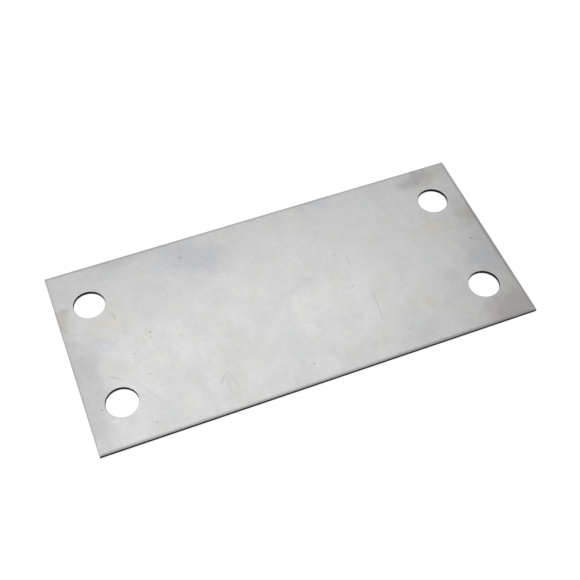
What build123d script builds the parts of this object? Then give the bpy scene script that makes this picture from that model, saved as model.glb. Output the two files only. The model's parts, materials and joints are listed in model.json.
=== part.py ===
from build123d import *

import os

# Rectangular cover plate: one flat piece of thin bright steel sheet, with a screw hole near each corner.
# The blank is sheared to size and its holes are punched, both from the upper face. The shear's blades
# draw that face down in a wide, shallow curve before the metal parts, and a punch, which is held closer,
# only rounds the rim of its hole. The lower rims are left sharp, and so are the corners of the outline.
#
# Frame, in millimetres: the origin is at the middle of the lower face, which seats on what is covered.
# +X runs along the length, +Y along the width, and +Z out of the upper face, towards the screw heads.

# Blank
LENGTH = 127.0
WIDTH = 60.0
THICKNESS = 1.0

# Rollover of the sheared sides, which is an ellipse's quarter in section
ROLLOVER_WIDTH = 1.0  # in from the side, along the upper face
ROLLOVER_DEPTH = 0.14  # down from the upper face, at the side

# Screw holes, each a clearance hole for an M8 screw
HOLE_DIAMETER = 9.0
HOLE_TO_END = 9.75  # from a hole's centre to the nearer short side
HOLE_TO_SIDE = 13.25  # from a hole's centre to the nearer long side
HOLE_RIM_RADIUS = 0.15


def sheared_section(span):
    """The sheet's section between two opposite sides, with both of its upper rims drawn down."""
    side = span / 2
    flat_end = side - ROLLOVER_WIDTH
    shoulder = THICKNESS - ROLLOVER_DEPTH
    lower_face_and_side = Polyline((0, 0), (side, 0), (side, shoulder))
    rollover = EllipticalCenterArc((flat_end, shoulder), ROLLOVER_WIDTH, ROLLOVER_DEPTH, arc_size=90)
    upper_face = Line((flat_end, THICKNESS), (0, THICKNESS))
    right_half = lower_face_and_side + rollover + upper_face
    return make_face(right_half + mirror(right_half, Plane.YZ))


def sheared_blank():
    """The rectangle as it leaves the shear: the two sections meet in a mitre at each corner."""
    back_side = Plane.XZ.offset(-WIDTH / 2)
    left_end = Plane.YZ.offset(-LENGTH / 2)
    cut_at_ends = extrude(back_side * sheared_section(LENGTH), WIDTH)
    cut_along_sides = extrude(left_end * sheared_section(WIDTH), LENGTH)
    return cut_at_ends & cut_along_sides


def hole_centres():
    """One place near each corner, at the same distances from the sides."""
    across_length = LENGTH - 2 * HOLE_TO_END
    across_width = WIDTH - 2 * HOLE_TO_SIDE
    return GridLocations(across_length, across_width, 2, 2)


def punched(blank):
    """The blank with its four screw holes right through, each with a rounded upper rim."""
    from_below = (Align.CENTER, Align.CENTER, Align.MIN)
    slug = Cylinder(HOLE_DIAMETER / 2, THICKNESS, align=from_below)
    plate = blank - hole_centres() * slug
    upper_face = plate.faces().sort_by(Axis.Z)[-1]
    upper_rims = upper_face.edges().filter_by(GeomType.CIRCLE)
    return fillet(upper_rims, HOLE_RIM_RADIUS)


cover_plate = punched(sheared_blank())

os.makedirs("parts", exist_ok=True)
export_step(cover_plate, "parts/cover_plate.step")
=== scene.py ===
"""A thin cover plate of bright cold-rolled steel sheet, sheared to size and punched for four screws.

The plate's shape follows a rule: its sheared section goes round the outline and round each screw hole, and
flat faces close what is left above and below. Geometry Nodes draw it so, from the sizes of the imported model.
"""

import json
import math

import bpy
from mathutils import Matrix, Vector


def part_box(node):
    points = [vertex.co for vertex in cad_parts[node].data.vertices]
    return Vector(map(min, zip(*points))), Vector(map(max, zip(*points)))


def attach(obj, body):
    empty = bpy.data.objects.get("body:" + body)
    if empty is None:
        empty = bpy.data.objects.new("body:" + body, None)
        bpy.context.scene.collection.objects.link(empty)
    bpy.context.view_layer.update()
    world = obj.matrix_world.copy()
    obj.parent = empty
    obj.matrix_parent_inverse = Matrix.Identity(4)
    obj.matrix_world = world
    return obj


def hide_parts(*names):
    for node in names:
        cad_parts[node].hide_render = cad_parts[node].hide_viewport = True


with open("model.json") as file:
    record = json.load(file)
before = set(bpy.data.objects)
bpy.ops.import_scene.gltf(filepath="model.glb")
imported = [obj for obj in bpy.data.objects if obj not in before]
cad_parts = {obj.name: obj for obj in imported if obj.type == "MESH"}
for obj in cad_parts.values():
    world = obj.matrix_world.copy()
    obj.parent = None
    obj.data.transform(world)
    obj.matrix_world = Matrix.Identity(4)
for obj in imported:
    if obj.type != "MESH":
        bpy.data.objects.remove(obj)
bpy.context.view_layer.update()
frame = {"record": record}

bl_info = {
    "name": "Sheared Cover Plate",
    "version": (1, 0, 0),
    "blender": (4, 5, 0),
    "location": "View3D > Sidebar > Cover Plate",
    "description": "Makes a thin steel cover plate with four screw holes, and the stage that it lies on",
    "category": "Object",
}

MM = 0.001
NODE = "cover_plate"
PIECE = "sheared_cover_plate"

LOW_CORNER, HIGH_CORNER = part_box(NODE)
PLATE = HIGH_CORNER - LOW_CORNER
SCREWS = next(mount["dims"] for mount in frame["record"]["mounts"] if mount["kind"] == "bolt_pattern")


# -----------------------------------------------------------------------------------------------------------
# Helpers


def linear(hex_colour):
    """An sRGB hex colour, such as "C8C8C6", as the linear red, green and blue that Blender works in."""
    channels = [int(hex_colour[i:i + 2], 16) / 255 for i in (0, 2, 4)]
    return [c / 12.92 if c <= 0.04045 else ((c + 0.055) / 1.055) ** 2.4 for c in channels]


def socket(sockets, name):
    """A socket by its name or number. Some nodes have several of one name, and enable the one in use."""
    if isinstance(name, int):
        return sockets[name]
    return next(s for s in sockets if s.name == name and s.enabled)


def add(tree, kind, inputs=None, **settings):
    """Add a node with its settings. Each input gets a value, an output, a node for its output, or a list."""
    node = tree.nodes.new(kind)
    for name, value in settings.items():
        setattr(node, name, value)
    for name, value in (inputs or {}).items():
        target = socket(node.inputs, name)
        sources = value if isinstance(value, list) else [value]
        for source in reversed(sources):
            if isinstance(source, bpy.types.Node):
                source = next(s for s in source.outputs if s.enabled)
            if isinstance(source, bpy.types.NodeSocket):
                tree.links.new(source, target)
            else:
                target.default_value = source
    return node


# -----------------------------------------------------------------------------------------------------------
# Sizes, colours and stage, as a user would change them


class PlateSizes(bpy.types.PropertyGroup):
    """The plate's sizes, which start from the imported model."""

    length: bpy.props.FloatProperty(
        name="Length", description="Between the short sides", default=PLATE.x, unit="LENGTH")
    width: bpy.props.FloatProperty(
        name="Width", description="Between the long sides", default=PLATE.y, unit="LENGTH")
    thickness: bpy.props.FloatProperty(
        name="Thickness", description="Gauge of the sheet", default=PLATE.z, unit="LENGTH")
    corner_radius: bpy.props.FloatProperty(
        name="Corner Radius", description="How far the outline's sharp corners are blunted",
        default=0.1 * MM, unit="LENGTH")
    rollover_width: bpy.props.FloatProperty(
        name="Rollover Width", description="How far in from a side the shear has drawn the upper face down",
        default=1.0 * MM, unit="LENGTH")
    rollover_depth: bpy.props.FloatProperty(
        name="Rollover Depth", description="How far down the upper face is drawn at the side",
        default=0.14 * MM, unit="LENGTH")
    side_wander: bpy.props.FloatProperty(
        name="Side Wander", description="How far in from a true line a sheared side strays",
        default=0.03 * MM, unit="LENGTH")
    hole_radius: bpy.props.FloatProperty(
        name="Hole Radius", description="Radius of each screw hole",
        default=SCREWS["hole_r_mm"] * MM, unit="LENGTH")
    hole_spacing_x: bpy.props.FloatProperty(
        name="Hole Spacing X", description="Between hole centres, along the length",
        default=SCREWS["spacing_x_mm"] * MM, unit="LENGTH")
    hole_spacing_y: bpy.props.FloatProperty(
        name="Hole Spacing Y", description="Between hole centres, along the width",
        default=SCREWS["spacing_y_mm"] * MM, unit="LENGTH")
    hole_rim: bpy.props.FloatProperty(
        name="Hole Rim", description="Radius that the punch leaves on the upper rim of a hole",
        default=0.15 * MM, unit="LENGTH")


class SteelColours(bpy.types.PropertyGroup):
    """The colours of the sheet's faces and of its cut sides."""

    cool_steel: bpy.props.FloatVectorProperty(
        name="Cool Steel", description="Clean rolled face, at its bluest",
        subtype="COLOR", default=linear("C7C8C9"))
    warm_steel: bpy.props.FloatVectorProperty(
        name="Warm Steel", description="Clean rolled face, at its yellowest",
        subtype="COLOR", default=linear("C9C8C6"))
    cool_stain: bpy.props.FloatVectorProperty(
        name="Cool Stain", description="Dried oil film, bluish", subtype="COLOR", default=linear("AFB3BC"))
    warm_stain: bpy.props.FloatVectorProperty(
        name="Warm Stain", description="First tarnish, yellowish", subtype="COLOR", default=linear("C4C1B6"))
    # The grey and brown marks make the plate darker towards its left and right ends; the grey one also darkens
    # a band near the back side.
    grey_darkening: bpy.props.FloatVectorProperty(
        name="Grey Stain", description="Rubbed oil and dirt", subtype="COLOR", default=linear("A9A9A9"))
    brown_darkening: bpy.props.FloatVectorProperty(
        name="Rust Bloom", description="Thin brown film at the rims",
        subtype="COLOR", default=linear("9A9088"))
    # Scratch also colours the painted shade along two rims.
    scratch_and_rim_shade: bpy.props.FloatVectorProperty(
        name="Scratch", description="Bottom of a scratch or speck",
        subtype="COLOR", default=linear("6A6764"))
    # Burnish and Fracture are partly the cut side's own tarnish and partly painted shade: far darker than cut
    # steel, standing in for a dark reflection.
    burnish_and_painted_shade: bpy.props.FloatVectorProperty(
        name="Burnish", description="Upper part of a cut side, rubbed by the blade",
        subtype="COLOR", default=linear("282523"))
    fracture_and_painted_shade: bpy.props.FloatVectorProperty(
        name="Fracture", description="Lower part of a cut side, torn and tarnished",
        subtype="COLOR", default=linear("141211"))


class StageSettings(bpy.types.PropertyGroup):
    """The floor, the lamps and the camera."""

    floor_radius: bpy.props.FloatProperty(
        name="Floor Radius", description="Flat part of the paper sweep", default=0.8, unit="LENGTH")
    sky: bpy.props.FloatProperty(
        name="Sky", description="Brightness of the room all round, where 1 is white", default=0.56, min=0)
    softbox: bpy.props.FloatProperty(
        name="Softbox", description="Brightness of the softbox, where 1 is white", default=1.5, min=0)
    azimuth: bpy.props.FloatProperty(
        name="Azimuth", description="Camera's turn round the plate, from the front",
        default=math.radians(-22.21), subtype="ANGLE")
    elevation: bpy.props.FloatProperty(
        name="Elevation", description="Camera's height above the horizon",
        default=math.radians(54.51), subtype="ANGLE")
    roll: bpy.props.FloatProperty(
        name="Roll", description="Camera's turn about its own axis",
        default=math.radians(0.93), subtype="ANGLE")
    distance: bpy.props.FloatProperty(
        name="Distance", description="From the camera to the plate", default=290.5 * MM, unit="LENGTH")
    lens: bpy.props.FloatProperty(
        name="Lens", description="Focal length in millimetres", default=63.2, min=1)


# -----------------------------------------------------------------------------------------------------------
# Materials


# Where the rolled face is marked, in millimetres from its middle. A stain is an oval: the colour's name, the
# centre, the half length and half width, the turn in degrees, and how much of the steel it hides.
STAINS_AND_DARKENING = (
    ("cool_stain", (-22, 22), (16, 9), -15, 0.50),
    ("cool_stain", (-54, 2), (6, 4), 20, 0.35),
    ("cool_stain", (-44, 27), (8, 5), 0, 0.25),
    ("cool_stain", (20, 29), (9, 4), 0, 0.40),
    ("cool_stain", (29, -25), (7, 4), 10, 0.25),
    ("cool_stain", (52, 27), (8, 4), 0, 0.35),
    ("warm_stain", (-50, 9), (8, 6), 25, 0.55),
    ("warm_stain", (-50, -6), (6, 4), -15, 0.45),
    ("warm_stain", (-20, -14), (15, 8), 10, 0.30),
    ("warm_stain", (36, -17), (9, 3), -30, 0.55),
    ("warm_stain", (49, 7), (8, 6), -10, 0.55),
    # The grey and brown marks below make the plate darker towards its left and right ends.
    ("grey_darkening", (-64, -8), (12, 30), 0, 0.70),
    ("grey_darkening", (-63, 24), (9, 12), 0, 0.15),
    ("grey_darkening", (64, -4), (13, 22), 0, 0.40),
    ("grey_darkening", (-38, 29), (20, 4), 0, 0.25),
    ("brown_darkening", (-63, 15), (4, 6), 0, 0.35),
    ("brown_darkening", (61, 8), (4, 6), 15, 0.30),
    ("brown_darkening", (58, -26), (13, 8), 15, 0.45),
    ("cool_stain", (58, -9), (7, 7), 0, 0.35),
    ("cool_stain", (46, -11), (4, 3), 0, 0.25),
    ("cool_stain", (60, 14), (4, 5), 0, 0.30),
    ("brown_darkening", (53, 26), (9, 5), 10, 0.35),
    ("grey_darkening", (62, 27), (5, 6), 0, 0.30),
)
# A scratch or a speck: one end, the other end, its width and how much of the steel it hides. The last two
# are painted shade over the rollover, along the right side and the right part of the front side.
SCRATCHES_AND_RIM_SHADE = (
    ((22.8, -5.5), (21.6, -19.0), 0.45, 0.24),
    ((21.0, 7.5), (20.2, 3.0), 0.60, 0.20),
    ((-56.0, -7.0), (-51.5, -10.5), 0.70, 0.22),
    ((-49.0, -11.5), (-42.0, -22.5), 0.45, 0.14),
    ((-25.2, -18.0), (-28.3, -21.8), 1.10, 0.15),
    ((-24.8, -18.2), (-22.8, -24.5), 1.20, 0.11),
    ((-25.4, -18.6), (-25.8, -24.8), 1.60, 0.08),
    ((-49.0, 12.5), (-47.8, 8.5), 1.00, 0.16),
    ((5.0, 4.0), (9.5, 1.5), 0.50, 0.12),
    ((-40.5, 1.6), (-40.3, 2.0), 0.70, 0.50),
    ((-40.9, 0.1), (-40.7, 0.0), 0.60, 0.45),
    ((-46.5, -3.3), (-46.3, -3.5), 0.65, 0.40),
    ((-44.5, -11.0), (-44.2, -11.1), 0.80, 0.25),
    ((-47.0, -25.5), (-46.8, -25.8), 0.65, 0.35),
    ((-33.0, -2.0), (-32.4, -2.2), 0.90, 0.20),
    ((-25.0, 23.6), (-24.4, 23.4), 0.80, 0.40),
    ((-59.5, -17.0), (-59.3, -17.1), 0.65, 0.50),
    ((-2.0, -24.0), (-1.7, -24.0), 0.70, 0.50),
    ((18.0, -4.0), (18.4, -3.8), 0.90, 0.25),
    ((17.5, 8.5), (17.9, 8.4), 0.90, 0.22),
    ((57.8, -0.4), (58.2, -0.4), 0.95, 0.30),
    # Painted shade: darker bands over the rollover along the right side and the right part of the front side.
    ((63.4, -33.0), (63.4, 33.0), 2.6, 0.22),
    ((10.0, -29.9), (66.0, -29.9), 1.8, 0.22),
)


def oval(tree, place, centre, half_sizes, turn, soft_from):
    """How far a place on the upper face lies within a soft-edged oval: 1 at its middle, and 0 outside it."""
    reach_down = 0.8  # millimetres, so that the lower face has no marks
    from_centre = add(tree, "ShaderNodeMapping", {
        "Vector": place, "Location": (*centre, PLATE.z / MM), "Rotation": (0, 0, math.radians(turn)),
        "Scale": (*half_sizes, reach_down)}, vector_type="TEXTURE")
    out = add(tree, "ShaderNodeVectorMath", {0: from_centre}, operation="LENGTH")
    return add(tree, "ShaderNodeMapRange", {
        "Value": out.outputs["Value"], "From Min": 1.0, "From Max": soft_from,
    }, interpolation_type="SMOOTHSTEP")


def stains_scratches_and_rim_shade(tree, steel, colours, place, ragged_place):
    """The steel's colour under its stains and darker marks, whose outlines are ragged, and under its
    scratches, specks and painted rim shade.
    """
    stain_soft_from, scratch_soft_from = 0.2, 0.4
    for name, centre, half_sizes, turn, strength in STAINS_AND_DARKENING:
        within = oval(tree, ragged_place, centre, half_sizes, turn, stain_soft_from)
        amount = add(tree, "ShaderNodeMath", {0: within, 1: strength}, operation="MULTIPLY")
        steel = add(tree, "ShaderNodeMix", {
            "Factor": amount, "A": steel, "B": (*getattr(colours, name), 1)}, data_type="RGBA")
    for one_end, other_end, width, strength in SCRATCHES_AND_RIM_SHADE:
        run = Vector(other_end) - Vector(one_end)
        centre = (Vector(other_end) + Vector(one_end)) / 2
        half_sizes = (run.length / 2 + width / 2, width / 2)
        turn = math.degrees(math.atan2(run.y, run.x))
        within = oval(tree, place, centre, half_sizes, turn, scratch_soft_from)
        amount = add(tree, "ShaderNodeMath", {0: within, 1: strength}, operation="MULTIPLY")
        steel = add(tree, "ShaderNodeMix", {
            "Factor": amount, "A": steel, "B": (*colours.scratch_and_rim_shade, 1)}, data_type="RGBA")
    return steel


def rolled_steel(colours):
    """Cold-rolled steel sheet, mill finish: a dull satin from the rolls, mottled by oil and first tarnish.

    The rolls leave lines along the length, a few microns wide. They are drawn a third of a millimetre wide,
    which is as fine as shows, and faint, so that the mottling is what the eye sees first."""
    material = bpy.data.materials.new("cold_rolled_steel_mill_finish")
    material.use_nodes = True
    tree = material.node_tree
    tree.nodes.clear()
    line_length, line_width = 12, 0.35  # these sizes are in millimetres
    cloud_size, bloom_size, pit_size = 14, 9, 1.3
    ragged_size, ragged_reach = 4, 9
    noise_middle = 0.5
    object_place = add(tree, "ShaderNodeTexCoord").outputs["Object"]
    place = add(tree, "ShaderNodeVectorMath", {0: object_place, "Scale": 1 / MM}, operation="SCALE")
    along = add(tree, "ShaderNodeVectorMath", {
        0: place, 1: (1 / line_length, 1 / line_width, 1 / line_width)}, operation="MULTIPLY")
    lines = add(tree, "ShaderNodeTexNoise", {"Vector": along, "Scale": 1.0, "Detail": 2.0})
    clouds = add(tree, "ShaderNodeTexNoise", {
        "Vector": place, "Scale": 1 / cloud_size, "Detail": 7.0, "Roughness": 0.95})
    pits = add(tree, "ShaderNodeTexNoise", {
        "Vector": place, "Scale": 1 / pit_size, "Detail": 3.0, "Roughness": 0.8})
    blooms = add(tree, "ShaderNodeTexNoise", {
        "Vector": place, "Scale": 1 / bloom_size, "Detail": 4.0, "Roughness": 0.7})
    shift = add(tree, "ShaderNodeTexNoise", {"Vector": place, "Scale": 1 / ragged_size, "Detail": 4.0})
    stray = add(tree, "ShaderNodeVectorMath", {
        0: shift.outputs["Color"], 1: (-noise_middle, -noise_middle, -noise_middle)}, operation="ADD")
    flat_stray = add(tree, "ShaderNodeVectorMath", {
        0: stray, 1: (ragged_reach, ragged_reach, 0)}, operation="MULTIPLY")
    ragged_place = add(tree, "ShaderNodeVectorMath", {0: place, 1: flat_stray}, operation="ADD")

    grain = add(tree, "ShaderNodeMapRange", {
        "Value": lines, "From Min": 0.3, "From Max": 0.7, "To Min": 0.985, "To Max": 1.015})
    mottle = add(tree, "ShaderNodeMapRange", {
        "Value": clouds, "From Min": 0.25, "From Max": 0.75, "To Min": 0.92, "To Max": 1.08})
    speckle = add(tree, "ShaderNodeMapRange", {
        "Value": pits, "From Min": 0.3, "From Max": 0.7, "To Min": 0.965, "To Max": 1.035})
    rolled_tone = add(tree, "ShaderNodeMath", {0: grain, 1: mottle}, operation="MULTIPLY")
    tone = add(tree, "ShaderNodeMath", {0: rolled_tone, 1: speckle}, operation="MULTIPLY")
    tint = add(tree, "ShaderNodeMapRange", {"Value": blooms, "From Min": 0.35, "From Max": 0.65})
    tinted = add(tree, "ShaderNodeMix", {
        "Factor": tint, "A": (*colours.cool_steel, 1), "B": (*colours.warm_steel, 1)}, data_type="RGBA")
    marked = stains_scratches_and_rim_shade(tree, tinted, colours, place, ragged_place)
    pitted = add(tree, "ShaderNodeMapRange", {
        "Value": pits, "From Min": 0.66, "From Max": 0.76, "To Max": 0.35})
    specked = add(tree, "ShaderNodeMix", {
        "Factor": pitted, "A": marked, "B": (*colours.scratch_and_rim_shade, 1)}, data_type="RGBA")
    colour = add(tree, "ShaderNodeVectorMath", {0: specked, "Scale": tone}, operation="SCALE")
    roughness = add(tree, "ShaderNodeMapRange", {
        "Value": clouds, "From Min": 0.25, "From Max": 0.75, "To Min": 0.39, "To Max": 0.33})
    relief = add(tree, "ShaderNodeMath", {0: lines, 1: clouds}, operation="ADD")
    bump = add(tree, "ShaderNodeBump", {"Strength": 0.10, "Distance": 0.01 * MM, "Height": relief})
    shader = add(tree, "ShaderNodeBsdfPrincipled", {
        "Base Color": colour, "Metallic": 1.0, "Roughness": roughness, "Normal": bump})
    add(tree, "ShaderNodeOutputMaterial", {"Surface": shader})
    return material


def sheared_steel(colours, sizes):
    """A sheared side of the sheet: a narrow rubbed band above, and a torn, tarnished band below, both painted
    far darker than cut steel as painted shade of a dark reflection.
    """
    material = bpy.data.materials.new("steel_sheared_side")
    material.use_nodes = True
    tree = material.node_tree
    tree.nodes.clear()
    tear_size, tear_reach = 0.9, 0.3  # in millimetres
    place = add(tree, "ShaderNodeTexCoord").outputs["Object"]
    height = add(tree, "ShaderNodeSeparateXYZ", {0: place}).outputs["Z"]
    in_mm = add(tree, "ShaderNodeVectorMath", {0: place, "Scale": 1 / MM}, operation="SCALE")
    tear = add(tree, "ShaderNodeTexNoise", {"Vector": in_mm, "Scale": 1 / tear_size, "Detail": 3.0})
    ragged = add(tree, "ShaderNodeMath", {0: tear, 1: tear_reach * MM, 2: height}, operation="MULTIPLY_ADD")
    rubbed = add(tree, "ShaderNodeMapRange", {
        "Value": ragged, "From Min": 0.75 * sizes.thickness, "From Max": 0.85 * sizes.thickness})
    # The cut side's colours carry painted shade, darker than its own tarnish, for a dark reflection.
    colour = add(tree, "ShaderNodeMix", {
        "Factor": rubbed, "A": (*colours.fracture_and_painted_shade, 1), "B": (*colours.burnish_and_painted_shade, 1)}, data_type="RGBA")
    shader = add(tree, "ShaderNodeBsdfPrincipled", {
        "Base Color": colour, "Metallic": 1.0, "Roughness": 0.55})
    add(tree, "ShaderNodeOutputMaterial", {"Surface": shader})
    return material


def sweep_paper():
    """White background paper. It looks white by itself and in the steel, and keeps the plate's shadow."""
    material = bpy.data.materials.new("white_background_paper")
    material.use_nodes = True
    tree = material.node_tree
    tree.nodes.clear()
    glow_strength = 0.86
    path = add(tree, "ShaderNodeLightPath").outputs
    seen_in_metal = add(tree, "ShaderNodeMath", {
        0: path["Is Glossy Ray"], 1: path["Is Transmission Ray"]}, operation="MAXIMUM")
    seen = add(tree, "ShaderNodeMath", {0: path["Is Camera Ray"], 1: seen_in_metal}, operation="MAXIMUM")
    glow = add(tree, "ShaderNodeMath", {0: seen, 1: glow_strength}, operation="MULTIPLY")
    lit = add(tree, "ShaderNodeBsdfDiffuse", {"Color": (*linear("9A9A9A"), 1)})
    shining = add(tree, "ShaderNodeEmission", {"Color": (1, 1, 1, 1), "Strength": glow})
    both = add(tree, "ShaderNodeAddShader", {0: lit, 1: shining})
    add(tree, "ShaderNodeOutputMaterial", {"Surface": both})
    return material


# -----------------------------------------------------------------------------------------------------------
# The plate


def outline_curve(tree, size):
    """The rectangle with blunted corners, and points along its sides that are close enough to stray."""
    point_spacing = 0.5 * MM
    rectangle = add(tree, "GeometryNodeCurvePrimitiveQuadrilateral", {
        "Width": size["Length"], "Height": size["Width"]})
    rounded = add(tree, "GeometryNodeFilletCurve", {
        "Curve": rectangle, "Count": 5, "Radius": size["Corner Radius"]}, mode="POLY")
    here = add(tree, "GeometryNodeInputPosition")
    following = add(tree, "GeometryNodeOffsetPointInCurve", {"Offset": 1})
    there = add(tree, "GeometryNodeFieldAtIndex", {
        "Value": here, "Index": following.outputs["Point Index"]}, data_type="FLOAT_VECTOR")
    stretch = add(tree, "ShaderNodeVectorMath", {0: here, 1: there}, operation="DISTANCE")
    cuts = add(tree, "ShaderNodeMath", {0: stretch.outputs["Value"], 1: point_spacing}, operation="DIVIDE")
    return add(tree, "GeometryNodeSubdivideCurve", {"Curve": rounded, "Cuts": cuts})


def sheared_section(tree, size, rim_width, rim_depth):
    """The section of a cut side, as X in from the side and Y up from the lower face.

    It reaches a little way along both flat faces, so that they stay flat where the rounded rim begins."""
    flat_reach = 0.1 * MM
    shoulder = add(tree, "ShaderNodeMath", {0: size["Thickness"], 1: rim_depth}, operation="SUBTRACT")
    below = add(tree, "GeometryNodeCurvePrimitiveLine", {"Start": (flat_reach, 0, 0), "End": (0, 0, 0)})
    shoulder_place = add(tree, "ShaderNodeCombineXYZ", {"Y": shoulder})
    side = add(tree, "GeometryNodeCurvePrimitiveLine", {"Start": (0, 0, 0), "End": shoulder_place})
    divided_side = add(tree, "GeometryNodeSubdivideCurve", {"Curve": side, "Cuts": 4})
    quarter = add(tree, "GeometryNodeCurveArc", {
        "Resolution": 14, "Radius": 1.0, "Start Angle": math.pi, "Sweep Angle": -math.pi / 2})
    rim_size = add(tree, "ShaderNodeCombineXYZ", {"X": rim_width, "Y": rim_depth, "Z": 1.0})
    rim_centre = add(tree, "ShaderNodeCombineXYZ", {"X": rim_width, "Y": shoulder})
    rim = add(tree, "GeometryNodeTransform", {
        "Geometry": quarter, "Translation": rim_centre, "Scale": rim_size})
    rim_end = add(tree, "ShaderNodeCombineXYZ", {"X": rim_width, "Y": size["Thickness"]})
    flat_end = add(tree, "ShaderNodeVectorMath", {0: rim_end, 1: (flat_reach, 0, 0)}, operation="ADD")
    above = add(tree, "GeometryNodeCurvePrimitiveLine", {"Start": rim_end, "End": flat_end})
    return add(tree, "GeometryNodeJoinGeometry", {"Geometry": [below, divided_side, rim, above]})


def remembered(tree, curve, name):
    """The curve, and its points' places as they are now, which stay readable on what is made from it."""
    capture = add(tree, "GeometryNodeCaptureAttribute", {"Geometry": curve})
    capture.capture_items.new("VECTOR", name)
    tree.links.new(add(tree, "GeometryNodeInputPosition").outputs[0], capture.inputs[name])
    return capture, capture.outputs[name]


def wandering_inset(tree, size, inset, along):
    """A section point's distance in from the side, and the shear's small wander, which fades over the rim."""
    wander = add(tree, "ShaderNodeTexNoise", {
        "Vector": along, "W": size["Seed"], "Scale": 1 / (7 * MM), "Detail": 3.0}, noise_dimensions="4D")
    fading = add(tree, "ShaderNodeMapRange", {
        "Value": inset, "From Min": 0.0, "From Max": size["Rollover Width"],
        "To Min": size["Side Wander"], "To Max": 0.0})
    return add(tree, "ShaderNodeMath", {0: wander, 1: fading, 2: inset}, operation="MULTIPLY_ADD")


def swept_side(tree, size, path, section, hole):
    """The section taken round the outline or round a hole. Round a hole the sheet lies on the outer side."""
    path_curve, on_path = remembered(tree, path, "On Path")
    section_curve, in_section = remembered(tree, section, "In Section")
    skin = add(tree, "GeometryNodeCurveToMesh", {"Curve": path_curve, "Profile Curve": section_curve})
    across = add(tree, "ShaderNodeSeparateXYZ", {0: in_section}).outputs
    if hole:
        outward = add(tree, "ShaderNodeVectorMath", {0: on_path}, operation="NORMALIZE")
        radius = add(tree, "ShaderNodeMath", {0: size["Hole Radius"], 1: across["X"]}, operation="ADD")
        level_place = add(tree, "ShaderNodeVectorMath", {0: outward, "Scale": radius}, operation="SCALE")
    else:
        inset = wandering_inset(tree, size, across["X"], on_path)
        sheet = add(tree, "ShaderNodeCombineXYZ", {"X": size["Length"], "Y": size["Width"]})
        half_sheet = add(tree, "ShaderNodeVectorMath", {0: sheet, "Scale": 0.5}, operation="SCALE")
        both_insets = add(tree, "ShaderNodeCombineXYZ", {"X": inset, "Y": inset})
        high = add(tree, "ShaderNodeVectorMath", {0: half_sheet, 1: both_insets}, operation="SUBTRACT")
        low = add(tree, "ShaderNodeVectorMath", {0: high, "Scale": -1.0}, operation="SCALE")
        below_high = add(tree, "ShaderNodeVectorMath", {0: on_path, 1: high}, operation="MINIMUM")
        level_place = add(tree, "ShaderNodeVectorMath", {0: below_high, 1: low}, operation="MAXIMUM")
    rise = add(tree, "ShaderNodeCombineXYZ", {"Z": across["Y"]})
    place = add(tree, "ShaderNodeVectorMath", {0: level_place, 1: rise}, operation="ADD")
    return add(tree, "GeometryNodeSetPosition", {"Geometry": skin, "Position": place})


def flat_face(tree, sides, chosen_edges, height):
    """The flat face that closes the sides' chosen open edges, at a height."""
    boundary = add(tree, "GeometryNodeMeshToCurve", {"Mesh": sides, "Selection": chosen_edges})
    filled = add(tree, "GeometryNodeFillCurve", {"Curve": boundary})
    rise = add(tree, "ShaderNodeCombineXYZ", {"Z": height})
    return add(tree, "GeometryNodeTransform", {"Geometry": filled, "Translation": rise})


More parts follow.
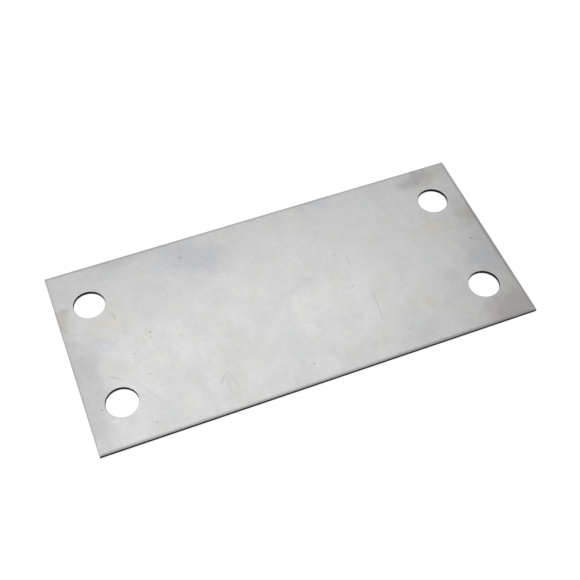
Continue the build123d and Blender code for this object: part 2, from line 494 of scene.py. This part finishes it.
def plate_tree(face_steel, side_steel):
    """The node tree that draws the plate from its sizes."""
    weld_distance = 0.001 * MM
    tree = bpy.data.node_groups.new("sheared_plate", "GeometryNodeTree")
    tree.is_modifier = True
    for key in PlateSizes.__annotations__:
        name = PlateSizes.bl_rna.properties[key].name
        tree.interface.new_socket(name, in_out="INPUT", socket_type="NodeSocketFloat").subtype = "DISTANCE"
    tree.interface.new_socket("Seed", in_out="INPUT", socket_type="NodeSocketInt")
    tree.interface.new_socket("Geometry", in_out="OUTPUT", socket_type="NodeSocketGeometry")
    size = add(tree, "NodeGroupInput").outputs

    side_section = sheared_section(tree, size, size["Rollover Width"], size["Rollover Depth"])
    outer_side = swept_side(tree, size, outline_curve(tree, size), side_section, hole=False)

    hole_section = sheared_section(tree, size, size["Hole Rim"], size["Hole Rim"])
    hole_circle = add(tree, "GeometryNodeCurvePrimitiveCircle", {
        "Resolution": 96, "Radius": size["Hole Radius"]})
    hole_side = swept_side(tree, size, hole_circle, hole_section, hole=True)
    hole_centres = add(tree, "GeometryNodeMeshGrid", {
        "Size X": size["Hole Spacing X"], "Size Y": size["Hole Spacing Y"],
        "Vertices X": 2, "Vertices Y": 2})
    hole_sides = add(tree, "GeometryNodeInstanceOnPoints", {"Points": hole_centres, "Instance": hole_side})
    real_hole_sides = add(tree, "GeometryNodeRealizeInstances", {"Geometry": hole_sides})

    loose_sides = add(tree, "GeometryNodeJoinGeometry", {"Geometry": [outer_side, real_hole_sides]})
    sides = add(tree, "GeometryNodeMergeByDistance", {"Geometry": loose_sides, "Distance": weld_distance})

    place = add(tree, "ShaderNodeSeparateXYZ", {0: add(tree, "GeometryNodeInputPosition")})
    middle = add(tree, "ShaderNodeMath", {0: size["Thickness"], 1: 0.5}, operation="MULTIPLY")
    is_high = add(tree, "FunctionNodeCompare", {
        "A": place.outputs["Z"], "B": middle}, operation="GREATER_THAN")
    faces_there = add(tree, "GeometryNodeInputMeshEdgeNeighbors")
    is_open = add(tree, "FunctionNodeCompare", {
        "A": faces_there, "B": 1}, data_type="INT", operation="EQUAL")
    open_above = add(tree, "FunctionNodeBooleanMath", {0: is_open, 1: is_high}, operation="AND")
    open_below = add(tree, "FunctionNodeBooleanMath", {0: is_open, 1: is_high}, operation="NIMPLY")
    upper_face = flat_face(tree, sides, open_above, size["Thickness"])
    lower_face = add(tree, "GeometryNodeFlipFaces", {"Mesh": flat_face(tree, sides, open_below, 0.0)})

    loose_faces = add(tree, "GeometryNodeJoinGeometry", {"Geometry": [sides, upper_face, lower_face]})
    closed = add(tree, "GeometryNodeMergeByDistance", {"Geometry": loose_faces, "Distance": weld_distance})
    smooth = add(tree, "GeometryNodeSetShadeSmooth", {"Geometry": closed})
    angle = add(tree, "GeometryNodeInputMeshEdgeAngle")
    is_sharp = add(tree, "FunctionNodeCompare", {
        "A": angle.outputs["Unsigned Angle"], "B": math.radians(30)}, operation="GREATER_THAN")
    creased = add(tree, "GeometryNodeSetShadeSmooth", {
        "Geometry": smooth, "Selection": is_sharp, "Shade Smooth": False}, domain="EDGE")

    # The steeper part of the rollover takes the cut side's colour, so that painted shade reaches onto the rim.
    face_from = 0.9  # how far up a surface has to face, of 1, before it counts as the rolled face
    facing = add(tree, "ShaderNodeSeparateXYZ", {0: add(tree, "GeometryNodeInputNormal")})
    upright = add(tree, "ShaderNodeMath", {0: facing.outputs["Z"]}, operation="ABSOLUTE")
    is_side = add(tree, "FunctionNodeCompare", {"A": upright, "B": face_from}, operation="LESS_THAN")
    real = add(tree, "GeometryNodeRealizeInstances", {"Geometry": creased})
    faced = add(tree, "GeometryNodeSetMaterial", {"Geometry": real, "Material": face_steel})
    finished = add(tree, "GeometryNodeSetMaterial", {
        "Geometry": faced, "Selection": is_side, "Material": side_steel})
    add(tree, "NodeGroupOutput", {"Geometry": finished})
    return tree


def set_inputs(modifier, sizes):
    """Give the tree's inputs their values, by identifier."""
    seed = 4
    names = {PlateSizes.bl_rna.properties[key].name: key for key in PlateSizes.__annotations__}
    for item in modifier.node_group.interface.items_tree:
        if item.in_out == "INPUT" and item.name in names:
            modifier[item.identifier] = getattr(sizes, names[item.name])
        elif item.name == "Seed":
            modifier[item.identifier] = seed


def make_plain(piece):
    """Put the mesh that the piece's modifiers make in its place, and take the modifiers off."""
    graph = bpy.context.evaluated_depsgraph_get()
    mesh = bpy.data.meshes.new_from_object(piece.evaluated_get(graph))
    mesh.name = piece.name
    piece.modifiers.clear()
    piece.data = mesh


def check_closed(mesh):
    """Stop if an edge of the mesh doesn't have a face on each side."""
    uses = [0] * len(mesh.edges)
    for loop in mesh.loops:
        uses[loop.edge_index] += 1
    open_edges = sum(count != 2 for count in uses)
    if open_edges or not uses:
        raise RuntimeError(f"{mesh.name} isn't closed: {open_edges} of its {len(uses)} edges lack a face")


class COVERPLATE_OT_plate(bpy.types.Operator):
    """Make the sheared and punched plate, with its steel"""

    bl_idname = "coverplate.plate"
    bl_label = "Make Plate"

    def execute(self, context):
        sizes = context.scene.cover_plate_sizes
        colours = context.scene.cover_plate_colours
        piece = bpy.data.objects.new(PIECE, bpy.data.meshes.new(PIECE))
        context.scene.collection.objects.link(piece)
        modifier = piece.modifiers.new("sheared_plate", "NODES")
        modifier.node_group = plate_tree(rolled_steel(colours), sheared_steel(colours, sizes))
        set_inputs(modifier, sizes)
        make_plain(piece)
        check_closed(piece.data)
        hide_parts(NODE)
        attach(piece, "root")
        return {"FINISHED"}


# -----------------------------------------------------------------------------------------------------------
# The stage


def paper_sweep(radius):
    """A round floor of paper that curves up into a low wall all round."""
    turns = 96
    bend_steps = 12
    bend_radius = 0.3
    wall_height = 0.45
    profile = [(radius, 0.0)]
    for step in range(1, bend_steps + 1):
        angle = math.pi / 2 * step / bend_steps
        profile.append((radius + bend_radius * math.sin(angle), bend_radius * (1 - math.cos(angle))))
    profile.append((radius + bend_radius, wall_height))
    points = [(r * math.cos(2 * math.pi * t / turns), r * math.sin(2 * math.pi * t / turns), z)
              for r, z in profile for t in range(turns)]
    faces = [tuple(range(turns))]
    for ring in range(len(profile) - 1):
        for t in range(turns):
            here, following = ring * turns + t, ring * turns + (t + 1) % turns
            faces.append((here, here + turns, following + turns, following))
    mesh = bpy.data.meshes.new("paper_sweep")
    mesh.from_pydata(points, [], faces)
    mesh.shade_smooth()
    mesh.materials.append(sweep_paper())
    sweep = bpy.data.objects.new("paper_sweep", mesh)
    sweep.location.z = LOW_CORNER.z - 0.02 * MM
    bpy.context.scene.collection.objects.link(sweep)
    return sweep


def direction(azimuth, elevation):
    """The way from the plate to something, with azimuth 0 in front of it and 90 degrees on its right."""
    level = math.cos(elevation)
    return Vector((math.sin(azimuth) * level, -math.cos(azimuth) * level, math.sin(elevation)))


def softbox(towards, distance, width, height, brightness):
    """An area lamp that faces the plate. Brightness 1 is the white of the paper, seen in a mirror."""
    lamp = bpy.data.lights.new("softbox", "AREA")
    lamp.shape = "RECTANGLE"
    lamp.size = width
    lamp.size_y = height
    lamp.energy = brightness * math.pi * width * height
    light = bpy.data.objects.new("softbox", lamp)
    light.location = towards * distance
    light.rotation_mode = "QUATERNION"
    light.rotation_quaternion = (-towards).to_track_quat("-Z", "Y")
    bpy.context.scene.collection.objects.link(light)


def camera(setting, aim):
    """The camera, aimed at a point on the plate."""
    back = direction(setting.azimuth, setting.elevation)
    data = bpy.data.cameras.new("camera")
    data.lens = setting.lens
    data.sensor_width = 36.0
    data.clip_start = 0.01
    seen_from = bpy.data.objects.new("camera", data)
    seen_from.location = aim + back * setting.distance
    seen_from.rotation_mode = "QUATERNION"
    turned = (-back).to_track_quat("-Z", "Y").to_matrix() @ Matrix.Rotation(setting.roll, 3, "Z")
    seen_from.rotation_quaternion = turned.to_quaternion()
    bpy.context.scene.collection.objects.link(seen_from)
    bpy.context.scene.camera = seen_from


class COVERPLATE_OT_stage(bpy.types.Operator):
    """Make the paper sweep, the room's light, the softbox and the camera"""

    bl_idname = "coverplate.stage"
    bl_label = "Make Stage"

    def execute(self, context):
        setting = context.scene.cover_plate_stage
        paper_sweep(setting.floor_radius)
        world = bpy.data.worlds.new("room")
        world.use_nodes = True
        world.node_tree.nodes["Background"].inputs["Color"].default_value = (1, 1, 1, 1)
        world.node_tree.nodes["Background"].inputs["Strength"].default_value = setting.sky
        context.scene.world = world
        behind_plate = direction(azimuth=math.radians(184), elevation=math.radians(61))
        softbox(behind_plate, 0.7, width=0.70, height=0.19, brightness=setting.softbox)
        camera(setting, aim=Vector((0.9 * MM, 1.2 * MM, HIGH_CORNER.z)))
        context.scene.view_settings.view_transform = "Standard"
        return {"FINISHED"}


# -----------------------------------------------------------------------------------------------------------
# Add-on


class COVERPLATE_PT_panel(bpy.types.Panel):
    """The sheared cover plate and its stage"""

    bl_idname = "COVERPLATE_PT_panel"
    bl_label = "Cover Plate"
    bl_space_type = "VIEW_3D"
    bl_region_type = "UI"
    bl_category = "Cover Plate"

    def draw(self, context):
        for settings in (context.scene.cover_plate_sizes, context.scene.cover_plate_colours,
                         context.scene.cover_plate_stage):
            box = self.layout.box()
            for key in type(settings).__annotations__:
                box.prop(settings, key)
        for operator in OPERATORS:
            self.layout.operator(operator.bl_idname)


SETTINGS = {"cover_plate_sizes": PlateSizes, "cover_plate_colours": SteelColours,
            "cover_plate_stage": StageSettings}
OPERATORS = (COVERPLATE_OT_plate, COVERPLATE_OT_stage)


def register():
    for name, settings in SETTINGS.items():
        bpy.utils.register_class(settings)
        setattr(bpy.types.Scene, name, bpy.props.PointerProperty(type=settings))
    for shown in (*OPERATORS, COVERPLATE_PT_panel):
        bpy.utils.register_class(shown)


def unregister():
    for shown in (COVERPLATE_PT_panel, *reversed(OPERATORS)):
        bpy.utils.unregister_class(shown)
    for name, settings in reversed(SETTINGS.items()):
        delattr(bpy.types.Scene, name)
        bpy.utils.unregister_class(settings)


def main():
    register()
    bpy.ops.coverplate.plate()
    bpy.ops.coverplate.stage()


if __name__ == "__main__":
    main()
